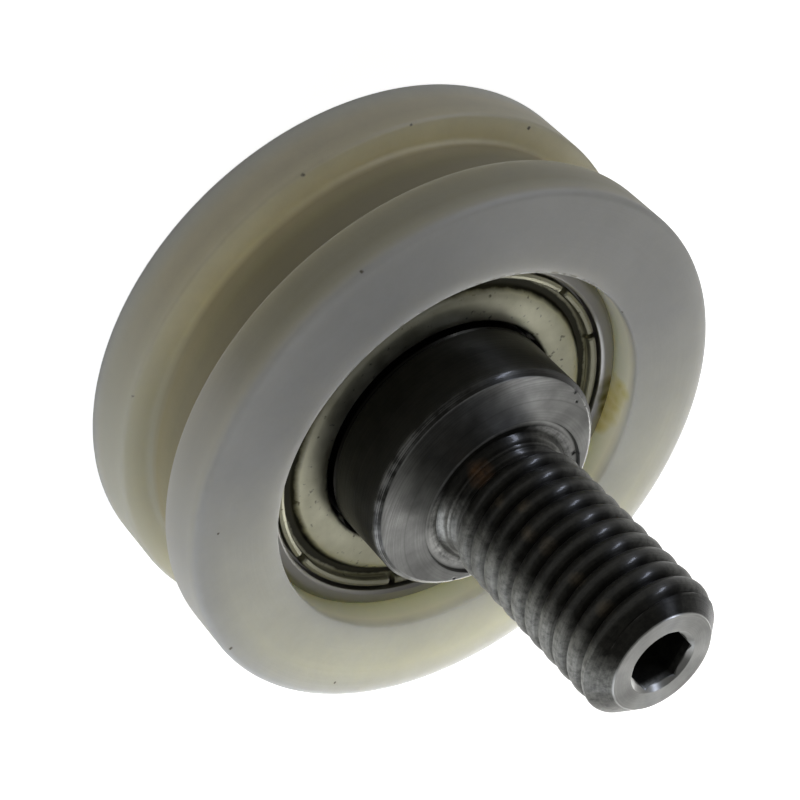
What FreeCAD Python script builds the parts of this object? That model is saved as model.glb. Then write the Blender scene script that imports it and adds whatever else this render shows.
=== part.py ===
"""Eccentric roller: a grooved nylon wheel on a shielded ball bearing, carried by a steel stud whose threaded
shank stands off the bearing's axis.

Millimetres. The bearing's axis is Z, with the wheel's back face on Z = 0 and the stud pointing to +Z. The shank is
offset towards +Y.
"""
import math
import os

import FreeCAD
import Part
import Sketcher

BALLS = 8
SHIELD_SLOTS = 9
LUG_ANGLE = math.radians(20.0)

SIZES = [
    # Nylon wheel
    ("roller_diameter", 40.0),
    ("roller_width", 14.0),
    ("roller_edge_round", 0.45),
    ("rail_groove_depth", 1.9),
    ("rail_groove_width", 5.7),
    ("rear_lip_width", 4.3),
    ("groove_draft", 0.2),
    ("groove_edge_round", 0.3),
    ("groove_root_round", 0.4),
    ("rear_shoulder_height", 1.5),
    ("bore_chamfer", 0.3),
    ("bearing_recess", 2.2),
    # Bearing rings
    ("bearing_bore", 12.0),
    ("bearing_outside", 28.0),
    ("bearing_width", 8.0),
    ("ring_corner", 0.4),
    ("bore_corner", 0.3),
    ("land_corner", 0.2),
    # Balls and cage
    ("ball_diameter", 4.762),
    ("ball_clearance", 0.02),
    ("race_depth", 0.881),
    ("race_excess", 0.1),
    ("pocket_clearance", 0.12),
    ("cage_sheet", 0.4),
    ("cage_land_clearance", 0.55),
    ("rivet_diameter", 0.9),
    ("rivet_head_overhang", 0.25),
    ("rivet_head_height", 0.3),
    # Shields
    ("shield_seat_step", 1.25),
    ("shield_seat_depth", 1.0),
    ("shield_sheet", 0.35),
    ("shield_inset", 0.25),
    ("shield_rim_clearance", 0.15),
    ("shield_rim_width", 0.6),
    ("shield_rim_round", 0.27),
    ("shield_trough_width", 0.95),
    ("shield_step_run", 0.3),
    ("shield_step_round", 0.2),
    ("shield_hole_clearance", 0.25),
    ("shield_slot_width", 0.6),
    # Eccentric stud
    ("eccentricity", 2.5),
    ("collar_height", 5.0),
    ("collar_chamfer", 0.25),
    ("thread_diameter", 10.0),
    ("shank_length", 17.2),
    ("shank_end_chamfer", 1.1),
    ("neck_undercut", 0.75),
    ("neck_length", 1.0),
    ("relief_margin", 1.1),
    ("relief_depth", 0.25),
    ("root_fillet", 1.1),
    ("socket_across_flats", 4.0),
    ("socket_depth", 5.0),
    ("socket_mouth_margin", 0.14),
    ("socket_drill_cone", 1.1),
    ("tail_length", 1.2),
    ("tail_chamfer", 0.5),
    # Retaining ring
    ("clip_thickness", 1.0),
    ("clip_groove_depth", 0.25),
    ("clip_groove_play", 0.05),
    ("clip_back_band", 1.8),
    ("clip_front_band", 1.0),
    ("clip_lug_diameter", 2.9),
    ("clip_lug_reach", 1.65),
    ("clip_hole_diameter", 1.7),
]


class Dim:
    """A length that carries its number and the expression over the named sizes that gives it."""

    def __init__(self, value, text):
        self.value = value
        self.text = text

    def __add__(self, other):
        other = dim(other)
        return Dim(self.value + other.value, "(%s + %s)" % (self.text, other.text))

    def __sub__(self, other):
        other = dim(other)
        return Dim(self.value - other.value, "(%s - %s)" % (self.text, other.text))

    def __mul__(self, factor):
        return Dim(self.value * factor, "(%s * %r)" % (self.text, float(factor)))

    def __truediv__(self, factor):
        return Dim(self.value / factor, "(%s / %r)" % (self.text, float(factor)))


def dim(item):
    if isinstance(item, Dim):
        return item
    return Dim(float(item), repr(float(item)))


doc = FreeCAD.newDocument("eccentric_roller")
sheet = doc.addObject("Spreadsheet::Sheet", "sizes")
S = {}
for row, (alias, number) in enumerate(SIZES, start=1):
    sheet.set("A%d" % row, alias.replace("_", " "))
    sheet.set("B%d" % row, str(number))
    sheet.setAlias("B%d" % row, alias)
    S[alias] = Dim(number, "sizes." + alias)
doc.recompute()


def bind(thing, prop, size):
    """Set a property from an expression over the sheet."""
    thing.setExpression(prop, dim(size).text)


def new_body(label):
    body = doc.addObject("PartDesign::Body", label)
    body.Label = label
    return body


def origin_feature(body, role):
    return [item for item in body.Origin.OriginFeatures if item.Role == role][0]


def new_sketch(body, name, role, height=None):
    """A sketch on one of the body's own planes, raised along that plane's normal when a height is given."""
    sketch = body.newObject("Sketcher::SketchObject", name)
    sketch.AttachmentSupport = [(origin_feature(body, role), "")]
    sketch.MapMode = "FlatFace"
    if height is not None:
        bind(sketch, "AttachmentOffset.Base.z", height)
    return sketch


def hold(sketch, kind, geometry, point, size):
    """Hold one coordinate of a point at a size measured from the sketch's origin."""
    size = dim(size)
    if size.value == 0.0:
        axis = -2 if kind == "DistanceX" else -1
        sketch.addConstraint(Sketcher.Constraint("PointOnObject", geometry, point, axis))
        return
    index = sketch.addConstraint(Sketcher.Constraint(kind, -1, 1, geometry, point, size.value))
    sketch.setExpression("Constraints[%d]" % index, size.text)


def polygon(sketch, corners):
    """A closed outline whose corners are pairs of sizes."""
    spots = [FreeCAD.Vector(dim(x).value, dim(y).value, 0) for x, y in corners]
    first = sketch.GeometryCount
    count = len(corners)
    for i in range(count):
        sketch.addGeometry(Part.LineSegment(spots[i], spots[(i + 1) % count]), False)
    for i in range(count):
        sketch.addConstraint(Sketcher.Constraint("Coincident", first + i, 2, first + (i + 1) % count, 1))
    for i, (x, y) in enumerate(corners):
        hold(sketch, "DistanceX", first + i, 1, x)
        hold(sketch, "DistanceY", first + i, 1, y)


def circle(sketch, x, y, radius):
    centre = FreeCAD.Vector(dim(x).value, dim(y).value, 0)
    index = sketch.addGeometry(Part.Circle(centre, FreeCAD.Vector(0, 0, 1), dim(radius).value), False)
    hold(sketch, "DistanceX", index, 3, x)
    hold(sketch, "DistanceY", index, 3, y)
    held = sketch.addConstraint(Sketcher.Constraint("Radius", index, dim(radius).value))
    sketch.setExpression("Constraints[%d]" % held, dim(radius).text)


def axis_line(sketch, x, low, high):
    """A construction line parallel to the sketch's upright axis, kept as the first geometry."""
    ends = [FreeCAD.Vector(dim(x).value, dim(y).value, 0) for y in (low, high)]
    index = sketch.addGeometry(Part.LineSegment(ends[0], ends[1]), True)
    for point, y in ((1, low), (2, high)):
        hold(sketch, "DistanceX", index, point, x)
        hold(sketch, "DistanceY", index, point, y)


def turned(body, kind, name, sketch, axis="V_Axis"):
    """A full turn of a sketch, added or cut."""
    feature = body.newObject("PartDesign::" + kind, name)
    feature.Profile = sketch
    feature.ReferenceAxis = (sketch, [axis])
    feature.Angle = 360.0
    sketch.Visibility = False
    doc.recompute()
    return feature


def sunk(body, name, sketch, depth, upward=False):
    """A pocket below its sketch, or above it when upward."""
    feature = body.newObject("PartDesign::Pocket", name)
    feature.Profile = sketch
    bind(feature, "Length", depth)
    feature.Reversed = upward
    sketch.Visibility = False
    doc.recompute()
    return feature


def softened(body, name, base, size, rings):
    """Round the circular edges of a feature that have these radii and heights, each about its own centre."""
    names = []
    for i, edge in enumerate(base.Shape.Edges):
        curve = edge.Curve
        if not isinstance(curve, Part.Circle):
            continue
        for radius, height in rings:
            if abs(curve.Radius - dim(radius).value) < 1e-4 and abs(curve.Center.z - dim(height).value) < 1e-4:
                names.append("Edge%d" % (i + 1))
    feature = body.newObject("PartDesign::Fillet", name)
    feature.Base = (base, names)
    bind(feature, "Radius", size)
    doc.recompute()
    return feature


def solid(kind, label, place=(0, 0, 0), **sizes):
    """A Part primitive with bound sizes and a bound place."""
    item = doc.addObject("Part::" + kind, label)
    for prop, size in sizes.items():
        bind(item, prop, size)
    for letter, size in zip("xyz", place):
        if dim(size).value != 0.0:
            bind(item, "Placement.Base." + letter, size)
    return item


def joined(kind, label, **links):
    """A boolean of existing objects."""
    item = doc.addObject("Part::" + kind, label)
    for prop, value in links.items():
        setattr(item, prop, value)
    return item


# Heights along the bearing's axis
front_z = S["roller_width"]
bearing_front_z = front_z - S["bearing_recess"]
bearing_rear_z = bearing_front_z - S["bearing_width"]
middle_z = bearing_front_z - S["bearing_width"] / 2
collar_z = bearing_front_z + S["collar_height"]
end_z = collar_z + S["shank_length"]

# Radii shared between pieces
bore_r = S["bearing_bore"] / 2
outside_r = S["bearing_outside"] / 2
ball_r = S["ball_diameter"] / 2
pitch_r = (bore_r + outside_r) / 2
inner_land_r = pitch_r - ball_r + S["race_depth"]
outer_land_r = pitch_r + ball_r - S["race_depth"]
race_r = ball_r + S["race_excess"]
seat_r = outer_land_r + S["shield_seat_step"]

# Wheel: two lips, a rail groove with drafted walls, a bearing bore and a rear shoulder
roller = new_body("roller")
lip_r = S["roller_diameter"] / 2
floor_r = lip_r - S["rail_groove_depth"]
hole_r = outside_r - S["rear_shoulder_height"]
groove_low = S["rear_lip_width"]
groove_high = S["rear_lip_width"] + S["rail_groove_width"]
chamfer = S["bore_chamfer"]
profile = new_sketch(roller, "roller_profile", "XZ_Plane")
polygon(profile, [
    (hole_r + chamfer, 0),
    (lip_r, 0),
    (lip_r, groove_low),
    (floor_r, groove_low + S["groove_draft"]),
    (floor_r, groove_high - S["groove_draft"]),
    (lip_r, groove_high),
    (lip_r, front_z),
    (outside_r + chamfer, front_z),
    (outside_r, front_z - chamfer),
    (outside_r, bearing_rear_z),
    (hole_r, bearing_rear_z),
    (hole_r, chamfer),
])
wheel = turned(roller, "Revolution", "roller_turned", profile)
wheel = softened(roller, "roller_rims", wheel, S["roller_edge_round"], [(lip_r, 0), (lip_r, front_z)])
wheel = softened(roller, "groove_mouth", wheel, S["groove_edge_round"], [(lip_r, groove_low), (lip_r, groove_high)])
wheel = softened(roller, "groove_roots", wheel, S["groove_root_round"], [
    (floor_r, groove_low + S["groove_draft"]),
    (floor_r, groove_high - S["groove_draft"]),
])

# Outer ring: stepped at both faces for the shields, with the outer raceway
outer_ring = new_body("outer_ring")
corner = S["ring_corner"]
small = S["land_corner"]
depth = S["shield_seat_depth"]
profile = new_sketch(outer_ring, "outer_ring_profile", "XZ_Plane")
polygon(profile, [
    (outside_r - corner, bearing_rear_z),
    (outside_r, bearing_rear_z + corner),
    (outside_r, bearing_front_z - corner),
    (outside_r - corner, bearing_front_z),
    (seat_r + small, bearing_front_z),
    (seat_r, bearing_front_z - small),
    (seat_r, bearing_front_z - depth),
    (outer_land_r, bearing_front_z - depth),
    (outer_land_r, bearing_rear_z + depth),
    (seat_r, bearing_rear_z + depth),
    (seat_r, bearing_rear_z + small),
    (seat_r + small, bearing_rear_z),
])
turned(outer_ring, "Revolution", "outer_ring_turned", profile)
race = new_sketch(outer_ring, "outer_race_circle", "XZ_Plane")
circle(race, pitch_r + ball_r + S["ball_clearance"] - race_r, middle_z, race_r)
turned(outer_ring, "Groove", "outer_race", race)

# Inner ring: on the stud's journal, with the inner raceway
inner_ring = new_body("inner_ring")
bevel = S["bore_corner"]
profile = new_sketch(inner_ring, "inner_ring_profile", "XZ_Plane")
polygon(profile, [
    (bore_r + bevel, bearing_rear_z),
    (inner_land_r - small, bearing_rear_z),
    (inner_land_r, bearing_rear_z + small),
    (inner_land_r, bearing_front_z - small),
    (inner_land_r - small, bearing_front_z),
    (bore_r + bevel, bearing_front_z),
    (bore_r, bearing_front_z - bevel),
    (bore_r, bearing_rear_z + bevel),
])
turned(inner_ring, "Revolution", "inner_ring_turned", profile)
race = new_sketch(inner_ring, "inner_race_circle", "XZ_Plane")
circle(race, pitch_r - ball_r - S["ball_clearance"] + race_r, middle_z, race_r)
turned(inner_ring, "Groove", "inner_race", race)


def around(count, step, turn=0.0):
    """Unit directions evenly spaced round the bearing's axis, in degrees from +X."""
    angles = [math.radians(turn + step * i) for i in range(count)]
    return [(round(math.cos(a), 9), round(math.sin(a), 9)) for a in angles]


# Balls
balls = []
for i, (cx, cy) in enumerate(around(BALLS, 360.0 / BALLS), start=1):
    balls.append(solid("Sphere", "ball_%d" % i, (pitch_r * cx, pitch_r * cy, middle_z), Radius=ball_r))

# Cage: two pressed halves whose pockets follow the balls, meeting on the bearing's middle plane
sheet_t = S["cage_sheet"]
cage_in = inner_land_r + S["cage_land_clearance"]
cage_out = outer_land_r - S["cage_land_clearance"]
pocket_r = ball_r + S["pocket_clearance"]
shell_r = pocket_r + sheet_t
domes = []
hollows = []
for i, (cx, cy) in enumerate(around(BALLS, 360.0 / BALLS), start=1):
    spot = (pitch_r * cx, pitch_r * cy, middle_z)
    domes.append(solid("Sphere", "pocket_outside_%d" % i, spot, Radius=shell_r))
    hollows.append(solid("Sphere", "pocket_inside_%d" % i, spot, Radius=pocket_r))
band_full = solid("Cylinder", "cage_band_full", (0, 0, middle_z), Radius=cage_out, Height=shell_r)
band_core = solid("Cylinder", "cage_band_core", (0, 0, middle_z), Radius=cage_in, Height=shell_r)
band = joined("Cut", "cage_band_ring", Base=band_full, Tool=band_core)
dome_group = joined("MultiFuse", "cage_domes", Shapes=domes)
dome_band = joined("Common", "cage_dome_band", Base=band, Tool=dome_group)
web_full = solid("Cylinder", "cage_web_full", (0, 0, middle_z), Radius=cage_out, Height=sheet_t)
web_core = solid("Cylinder", "cage_web_core", (0, 0, middle_z), Radius=cage_in, Height=sheet_t)
web = joined("Cut", "cage_web", Base=web_full, Tool=web_core)
blank = joined("Fuse", "cage_blank", Base=web, Tool=dome_band)
hollow_group = joined("MultiFuse", "cage_hollows", Shapes=hollows)
pocketed = joined("Cut", "cage_pocketed", Base=blank, Tool=hollow_group)
half_step = 180.0 / BALLS
drills = []
for i, (cx, cy) in enumerate(around(BALLS, 360.0 / BALLS, half_step), start=1):
    spot = (pitch_r * cx, pitch_r * cy, middle_z)
    drills.append(solid("Cylinder", "rivet_hole_%d" % i, spot, Radius=S["rivet_diameter"] / 2, Height=sheet_t))
drill_group = joined("MultiFuse", "rivet_holes", Shapes=drills)
cage_front = joined("Cut", "cage_front", Base=pocketed, Tool=drill_group)
cage_rear = doc.addObject("Part::Mirroring", "cage_rear")
cage_rear.Source = cage_front
cage_rear.Normal = FreeCAD.Vector(0, 0, 1)
bind(cage_rear, "Base.z", middle_z)

# Rivets: a shank through both halves and a coned head on each side
rivets = []
head_top_r = S["rivet_diameter"] / 2
head_r = head_top_r + S["rivet_head_overhang"]
head_h = S["rivet_head_height"]
for i, (cx, cy) in enumerate(around(BALLS, 360.0 / BALLS, half_step), start=1):
    x = pitch_r * cx
    y = pitch_r * cy
    shank = solid("Cylinder", "rivet_shank_%d" % i, (x, y, middle_z - sheet_t), Radius=head_top_r, Height=sheet_t * 2)
    upper = solid("Cone", "rivet_head_%d" % i, (x, y, middle_z + sheet_t), Radius1=head_r, Radius2=head_top_r,
                  Height=head_h)
    lower = solid("Cone", "rivet_foot_%d" % i, (x, y, middle_z - sheet_t - head_h), Radius1=head_top_r, Radius2=head_r,
                  Height=head_h)
    rivets.append(joined("MultiFuse", "rivet_%d" % i, Shapes=[lower, shank, upper]))
cage_rivets = joined("Compound", "cage_rivets", Links=rivets)


def shield(label, face_z, inward):
    """A pressed shield seated in the outer ring. inward is -1 at the front face and +1 at the rear one."""
    def below(size):
        return face_z + size if inward > 0 else face_z - size

    body = new_body(label)
    rim_r = seat_r - S["shield_rim_clearance"]
    rim_in_r = rim_r - S["shield_rim_width"]
    face_r = rim_in_r - S["shield_trough_width"]
    foot_r = face_r + S["shield_step_run"]
    hole = inner_land_r + S["shield_hole_clearance"]
    sheet_s = S["shield_sheet"]
    inset = S["shield_inset"]
    seat = S["shield_seat_depth"]
    turn_in = sheet_s * 0.4
    outline = new_sketch(body, label + "_profile", "XZ_Plane")
    polygon(outline, [
        (rim_r, below(seat - turn_in)),
        (rim_r, below(inset)),
        (rim_in_r, below(inset)),
        (rim_in_r, below(seat - sheet_s)),
        (foot_r, below(seat - sheet_s)),
        (face_r, below(inset)),
        (hole + turn_in, below(inset)),
        (hole, below(inset + turn_in)),
        (hole, below(inset + sheet_s + turn_in)),
        (hole + turn_in, below(inset + sheet_s)),
        (face_r - turn_in, below(inset + sheet_s)),
        (foot_r - turn_in, below(seat)),
        (rim_r - turn_in, below(seat)),
    ])
    pressed = turned(body, "Revolution", label + "_pressed", outline)
    pressed = softened(body, label + "_rim", pressed, S["shield_rim_round"], [
        (rim_r, below(inset)),
        (rim_in_r, below(inset)),
    ])
    pressed = softened(body, label + "_step", pressed, S["shield_step_round"], [(face_r, below(inset))])
    # Slots that let the rim spring into its seat
    margin = S["shield_rim_clearance"]
    half = S["shield_slot_width"] / 2
    mouth = below(inset - margin)
    slot = new_sketch(body, label + "_slot_outline", "XY_Plane", mouth)
    polygon(slot, [
        (rim_in_r - margin, half * -1),
        (rim_r + margin, half * -1),
        (rim_r + margin, half),
        (rim_in_r - margin, half),
    ])
    cut = sunk(body, label + "_slot", slot, seat - sheet_s - inset + margin, upward=inward > 0)
    ring = body.newObject("PartDesign::PolarPattern", label + "_slots")
    ring.Originals = [cut]
    ring.Axis = (origin_feature(body, "Z_Axis"), [""])
    ring.Angle = 360.0
    ring.Occurrences = SHIELD_SLOTS
    body.Tip = ring
    doc.recompute()
    return body


front_shield = shield("front_shield", bearing_front_z, -1)
rear_shield = shield("rear_shield", bearing_rear_z, 1)

# Eccentric stud: journal, tail with a clip groove, and collar about the bearing's axis
stud = new_body("eccentric_stud")
clip_r = bore_r - S["clip_groove_depth"]
play = S["clip_groove_play"]
groove_top = bearing_rear_z + play
groove_bottom = bearing_rear_z - S["clip_thickness"] - play
tail_z = groove_bottom - S["tail_length"]
collar_r = inner_land_r
edge = S["collar_chamfer"]
profile = new_sketch(stud, "journal_profile", "XZ_Plane")
polygon(profile, [
    (0, tail_z),
    (bore_r - S["tail_chamfer"], tail_z),
    (bore_r, tail_z + S["tail_chamfer"]),
    (bore_r, groove_bottom),
    (clip_r, groove_bottom),
    (clip_r, groove_top),
    (bore_r, groove_top),
    (bore_r, bearing_front_z),
    (collar_r - edge, bearing_front_z),
    (collar_r, bearing_front_z + edge),
    (collar_r, collar_z - edge),
    (collar_r - edge, collar_z),
    (0, collar_z),
])
turned(stud, "Revolution", "journal_turned", profile)

# Relief turned into the collar's face about the shank's axis
ecc = S["eccentricity"]
relief_z = collar_z - S["relief_depth"]
relief_edge = new_sketch(stud, "relief_outline", "XY_Plane", collar_z)
circle(relief_edge, 0, ecc, S["thread_diameter"] / 2 + S["relief_margin"])
sunk(stud, "root_relief", relief_edge, S["relief_depth"])

# Shank: relieved neck, thread's major diameter, end chamfer
thread_r = S["thread_diameter"] / 2
neck_r = thread_r - S["neck_undercut"]
tip = S["shank_end_chamfer"]
neck_top = collar_z + S["neck_length"]
buried = relief_z - S["relief_depth"]
profile = new_sketch(stud, "shank_profile", "YZ_Plane")
axis_line(profile, ecc, buried, end_z)
polygon(profile, [
    (ecc, buried),
    (ecc + neck_r, buried),
    (ecc + neck_r, neck_top),
    (ecc + thread_r, neck_top + (thread_r - neck_r)),
    (ecc + thread_r, end_z - tip),
    (ecc + thread_r - tip, end_z),
    (ecc, end_z),
])
shank = turned(stud, "Revolution", "shank_turned", profile, "Axis0")
shank = softened(stud, "shank_root", shank, S["root_fillet"], [(neck_r, relief_z)])

# Hexagon socket in the shank's end, with a coned mouth and a drilled bottom
socket = new_sketch(stud, "socket_outline", "XY_Plane", end_z)
corner_r = S["socket_across_flats"] / math.sqrt(3.0)
polygon(socket, [(corner_r * cx, ecc + corner_r * cy) for cx, cy in around(6, 60.0, 30.0)])
sunk(stud, "socket", socket, S["socket_depth"])
mouth_r = corner_r + S["socket_mouth_margin"]
profile = new_sketch(stud, "socket_mouth_profile", "YZ_Plane")
axis_line(profile, ecc, end_z - mouth_r, end_z)
polygon(profile, [(ecc, end_z - mouth_r), (ecc + mouth_r, end_z), (ecc, end_z)])
turned(stud, "Groove", "socket_mouth", profile, "Axis0")
drill_r = S["socket_across_flats"] * 0.48
bottom_z = end_z - S["socket_depth"]
profile = new_sketch(stud, "socket_drill_profile", "YZ_Plane")
axis_line(profile, ecc, bottom_z - S["socket_drill_cone"], bottom_z)
polygon(profile, [(ecc, bottom_z - S["socket_drill_cone"]), (ecc + drill_r, bottom_z), (ecc, bottom_z)])
turned(stud, "Groove", "socket_drill", profile, "Axis0")

# Retaining ring: band thick at the back, two drilled lugs, open towards -Y
clip_z = bearing_rear_z - S["clip_thickness"]
thick = S["clip_thickness"]
shift = (S["clip_back_band"] - S["clip_front_band"]) / 2
band_r = clip_r + (S["clip_back_band"] + S["clip_front_band"]) / 2
lug_at = clip_r + S["clip_lug_reach"]
lug_r = S["clip_lug_diameter"] / 2
half_spread = lug_at * math.sin(LUG_ANGLE)
lug_y = lug_at * -math.cos(LUG_ANGLE)
disc = solid("Cylinder", "clip_disc", (0, shift, clip_z), Radius=band_r, Height=thick)
lugs = []
eyes = []
for name, side in (("left", -1.0), ("right", 1.0)):
    lugs.append(solid("Cylinder", "clip_lug_" + name, (half_spread * side, lug_y, clip_z), Radius=lug_r, Height=thick))
    eyes.append(solid("Cylinder", "clip_eye_" + name, (half_spread * side, lug_y, clip_z),
                      Radius=S["clip_hole_diameter"] / 2, Height=thick))
clip_blank = joined("MultiFuse", "clip_blank", Shapes=[disc] + lugs)
clip_bore = solid("Cylinder", "clip_bore", (0, 0, clip_z), Radius=clip_r, Height=thick)
gap_half = half_spread - lug_r
clip_gap = solid("Box", "clip_gap", (gap_half * -1, lug_at * -1.5, clip_z), Length=gap_half * 2, Width=lug_at * 1.5,
                 Height=thick)
clip_tools = joined("MultiFuse", "clip_tools", Shapes=[clip_bore, clip_gap] + eyes)
retaining_ring = joined("Cut", "retaining_ring", Base=clip_blank, Tool=clip_tools)

doc.recompute()

NODES = [
    ("roller", roller),
    ("outer_ring", outer_ring),
    ("inner_ring", inner_ring),
    ("cage_front", cage_front),
    ("cage_rear", cage_rear),
    ("cage_rivets", cage_rivets),
    ("front_shield", front_shield),
    ("rear_shield", rear_shield),
    ("eccentric_stud", stud),
    ("retaining_ring", retaining_ring),
] + [("ball_%d" % i, ball) for i, ball in enumerate(balls, start=1)]

for item in doc.Objects:
    if "Invalid" in item.State or "Error" in item.State:
        raise RuntimeError("%s did not rebuild: %s" % (item.Label, item.State))

os.makedirs("parts", exist_ok=True)
for label, item in NODES:
    item.Label = label
    shape = item.Shape
    if shape.isNull() or not shape.isValid() or not shape.Solids:
        raise RuntimeError("%s has no sound solid" % label)
    shape.exportStep("parts/%s.step" % label)
    box = shape.BoundBox
    print("%-15s solids %d volume %.2f z %.3f to %.3f" % (label, len(shape.Solids), shape.Volume, box.ZMin, box.ZMax))
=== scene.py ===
"""Eccentric roller: a turned nylon wheel on a shielded bearing and a threaded eccentric stud.

Metres, in the part's own frame: the bearing's axis is Z, the wheel stands on Z = 0 and the stud points
to +Z. Sizes are written in millimetres and turned to metres by mm().
"""
import math

import bmesh
import bpy
from mathutils import Matrix, Vector


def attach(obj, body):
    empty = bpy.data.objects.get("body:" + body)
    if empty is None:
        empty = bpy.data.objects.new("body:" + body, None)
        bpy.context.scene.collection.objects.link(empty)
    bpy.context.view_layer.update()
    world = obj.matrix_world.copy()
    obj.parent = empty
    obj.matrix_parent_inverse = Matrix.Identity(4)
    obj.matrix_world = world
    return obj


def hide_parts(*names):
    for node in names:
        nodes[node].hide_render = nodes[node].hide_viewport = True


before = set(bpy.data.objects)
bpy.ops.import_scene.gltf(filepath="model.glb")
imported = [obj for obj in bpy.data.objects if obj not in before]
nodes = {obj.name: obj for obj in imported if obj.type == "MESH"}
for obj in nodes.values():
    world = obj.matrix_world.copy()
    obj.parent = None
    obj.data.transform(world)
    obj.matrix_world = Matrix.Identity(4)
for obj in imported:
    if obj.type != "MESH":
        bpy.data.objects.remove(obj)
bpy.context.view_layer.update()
scene = bpy.context.scene
scene.view_settings.view_transform = "Standard"


def mm(value):
    return value * 0.001


# Sizes of the wheel
WHEEL_R = 20.0
WHEEL_W = 14.0
GROOVE_DEPTH = 1.9
GROOVE_LOW = 4.3
GROOVE_HIGH = 10.0
GROOVE_DRAFT = 0.2
BORE_R = 14.0
REAR_HOLE_R = 12.5
REAR_HOLE_BREAK = 0.3

# Sizes of the bearing: its ring's seats for the shields, its race, and the shields
BEARING_REAR = 3.8
BEARING_FRONT = 11.8
RING_BREAK = 0.4
SEAT_R = 12.75
SEAT_DEPTH = 1.0
SEAT_BREAK = 0.2
OUTER_LAND_R = 11.5
LAND_INSIDE = 2.2
RACE_SIDE_R = 12.35
RACE_SIDE_INSIDE = 3.2
RACE_R = 12.4
SHIELD_HOLE_R = 8.75
SHIELD_EDGE_R = 12.55
RIM_R = 12.6
RIM_IN_R = 12.0

# Sizes of the stud
ECC = 2.5
JOURNAL_R = 6.0
TAIL_END = 1.55
TAIL_BREAK = 0.5
CLIP_GROOVE_R = 5.75
CLIP_GROOVE_LOW = 2.75
CLIP_GROOVE_HIGH = 3.85
COLLAR_R = 8.5
COLLAR_TOP = 16.8
COLLAR_FOOT_BREAK = 0.06
COLLAR_BREAK = 0.38
COLLAR_LAND = 0.6
RELIEF_R = 6.1
RELIEF_DEPTH = 0.25
RELIEF_DRAFT = 0.06
NECK_R = 4.15
NECK_TOP = COLLAR_TOP + 1.05
PITCH = 1.5
STUD_END = 34.0
END_FLAT_R = 3.7
SOCKET_FLAT_R = 2.0
SOCKET_MOUTH_R = 2.42
SOCKET_MOUTH_SLOPE = 0.8
SOCKET_DEPTH = 5.0
SOCKET_POINT = 1.1
SOCKET_POINT_R = 0.02

# Steps round a turned piece and round the thread, and what counts as one point or no edge
STEPS = 256
THREAD_STEPS = 160
WELD = 0.0005
SLIVER = 0.0002
THREAD_WELD = 0.002
THREAD_SLIVER = 0.001


# Mesh building

def polyline(bm, corners, rounds, segments):
    """A wire of (radius, height) corners in the XZ plane. Those in rounds are bent to a radius."""
    spots = [bm.verts.new((mm(r), 0.0, mm(z))) for r, z in corners]
    for a, b in zip(spots, spots[1:]):
        bm.edges.new((a, b))
    for index, size in rounds.items():
        bmesh.ops.bevel(bm, geom=[spots[index]], offset=mm(size), offset_type="OFFSET", segments=segments,
                        profile=0.5, affect="VERTICES", material=-1)


def spin_wire(bm, steps=STEPS):
    """Turn everything in the bmesh once round the bearing's axis."""
    bmesh.ops.spin(bm, geom=bm.verts[:] + bm.edges[:], cent=(0.0, 0.0, 0.0), axis=(0.0, 0.0, 1.0),
                   dvec=(0.0, 0.0, 0.0), angle=2.0 * math.pi, steps=steps, use_merge=True)


def join(bm, part):
    """Add another bmesh to this one and free it."""
    carried = bpy.data.meshes.new("carried")
    part.to_mesh(carried)
    part.free()
    bm.from_mesh(carried)
    bpy.data.meshes.remove(carried)


def make_object(bm, name):
    mesh = bpy.data.meshes.new(name)
    bm.to_mesh(mesh)
    bm.free()
    made = bpy.data.objects.new(name, mesh)
    scene.collection.objects.link(made)
    return made


def finish_mesh(bm, name, sharp_angle=32.0, weld=WELD):
    """Weld, face outwards, shade smooth up to the sharp angle, and make the object."""
    bmesh.ops.remove_doubles(bm, verts=bm.verts[:], dist=mm(weld))
    bmesh.ops.dissolve_degenerate(bm, dist=mm(SLIVER), edges=bm.edges[:])
    bmesh.ops.recalc_face_normals(bm, faces=bm.faces[:])
    for face in bm.faces:
        face.smooth = True
    for edge in bm.edges:
        edge.smooth = not (edge.is_manifold and edge.calc_face_angle(0.0) > math.radians(sharp_angle))
    return make_object(bm, name)


def dress(piece, body, node, material):
    """Put a new piece in a CAD node's place."""
    piece.data.materials.append(material)
    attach(piece, body)
    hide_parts(node)


# Material building

def colour(hex_text):
    """An sRGB hex value as linear RGBA."""
    values = [int(hex_text[i:i + 2], 16) / 255.0 for i in (1, 3, 5)]
    return [v / 12.92 if v <= 0.04045 else ((v + 0.055) / 1.055) ** 2.4 for v in values] + [1.0]


def grey(value):
    return [value, value, value, 1.0]


def plug(tree, node, inputs):
    """Link or set a node's inputs, by name or by place as _0. A node stands for its first live output."""
    for key, value in inputs.items():
        socket = node.inputs[int(key[1:])] if key[0] == "_" else node.inputs[key.replace("_", " ")]
        if isinstance(value, bpy.types.Node):
            value = next(output for output in value.outputs if output.enabled)
        if isinstance(value, bpy.types.NodeSocket):
            tree.links.new(value, socket)
        else:
            socket.default_value = value


def add(tree, kind, **given):
    """One node with its settings, whose names start small, and its inputs. Stops are a ramp's colours.

    By place, a Map Range has its from and to values at _1 to _4, a number Mix its two values at _2 and
    _3, and a colour Mix its two colours at _6 and _7.
    """
    made = tree.nodes.new("ShaderNode" + kind)
    settings = {key: value for key, value in given.items() if key[0].islower()}
    stops = settings.pop("stops", [])
    for key, value in settings.items():
        setattr(made, key, value)
    if stops:
        points = made.color_ramp.elements
        for at, _ in stops[2:]:
            points.new(at)
        for point, (at, shade) in zip(points, stops):
            point.position = at
            point.color = shade
    plug(tree, made, {key: value for key, value in given.items() if not key[0].islower()})
    return made


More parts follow.
